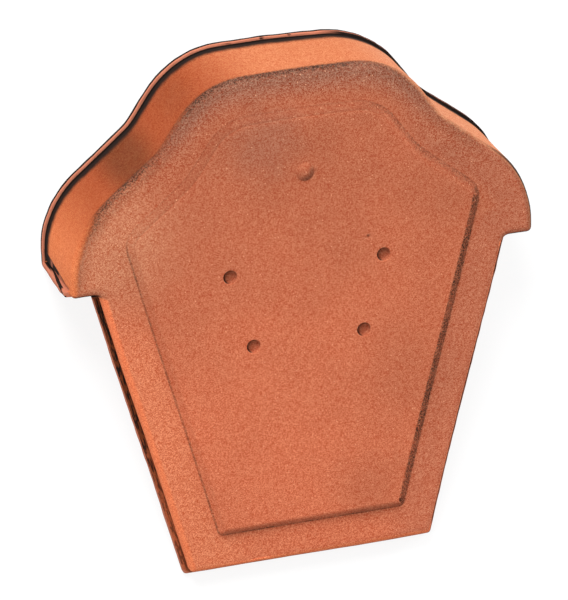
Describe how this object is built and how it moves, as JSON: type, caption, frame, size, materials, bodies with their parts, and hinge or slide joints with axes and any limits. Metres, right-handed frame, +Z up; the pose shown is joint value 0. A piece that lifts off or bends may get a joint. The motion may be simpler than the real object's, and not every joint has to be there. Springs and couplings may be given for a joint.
{
  "type": "ridge end tile",
  "caption": "Clay ridge end tile with an ogee head, a hood that laps over the end of a roof ridge, a tapering plate and a raised panel with blind nail holes.",
  "frame": {"origin": "middle of the box round the tile, on the floor it lies on", "axes": "+X across the tile to the right as its face is seen with the crown up, +Y along the floor from the bottom edge to the crown, +Z up, out of the face apart from the lean of the tile at rest"},
  "size_m": [0.2528, 0.279, 0.0755],
  "materials": {
    "terracotta": "matte, unglazed, fine-grained fired clay"
  },
  "bodies": {
    "root": {"ridge_end_tile": "terracotta"}
  },
  "joints": []
}
